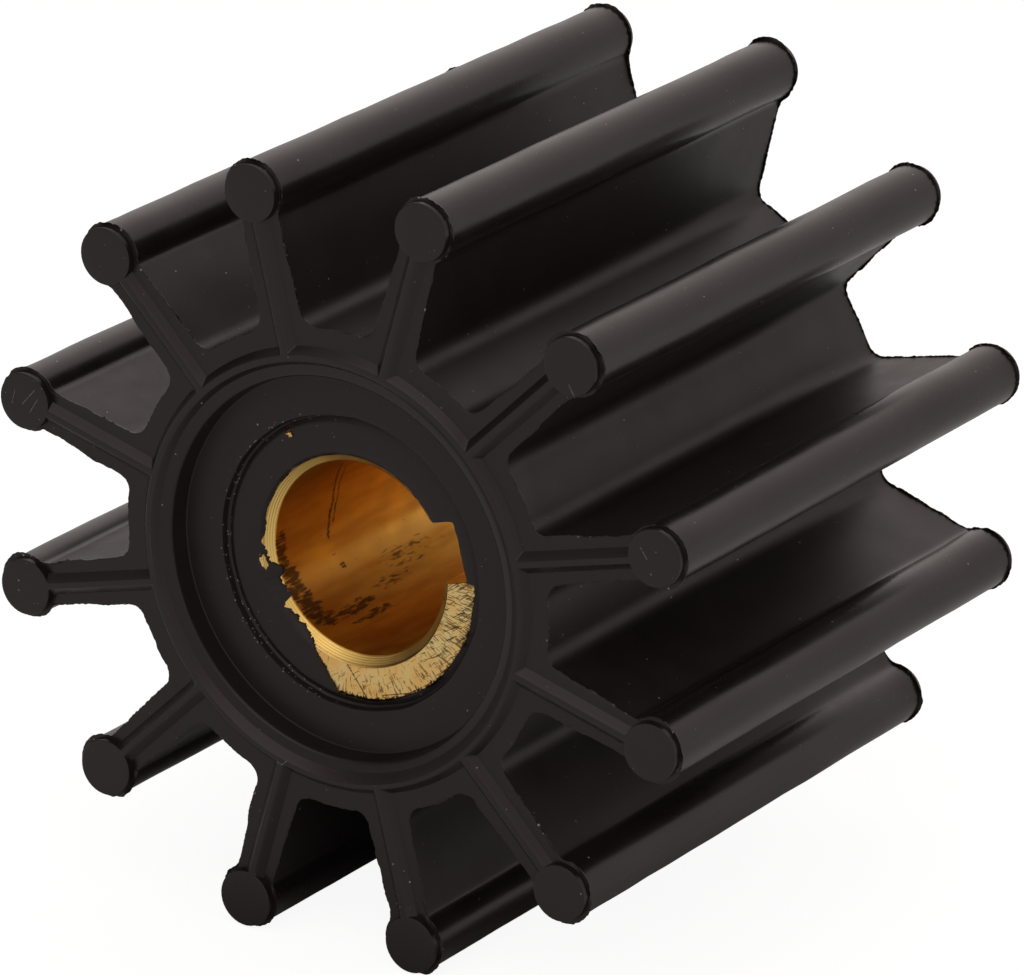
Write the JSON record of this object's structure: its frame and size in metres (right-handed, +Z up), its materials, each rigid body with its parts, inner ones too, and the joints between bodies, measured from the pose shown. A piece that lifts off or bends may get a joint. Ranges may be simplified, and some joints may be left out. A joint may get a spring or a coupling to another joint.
{
  "type": "pump impeller",
  "caption": "Flexible rubber pump impeller with bulb-tipped straight blades, moulded round a keyed brass bush that slides on a drive shaft.",
  "frame": {"origin": "middle of the bore, on its axis", "axes": "+Y along the bore, from the front face with the torn film to the back face; +Z up, with two blade tips down"},
  "size_m": [0.0638, 0.0512, 0.0638],
  "materials": {
    "rubber": "satin",
    "brass": "machined"
  },
  "bodies": {
    "root": {"rubber_wheel": "rubber", "brass_bush": "brass"}
  },
  "joints": []
}
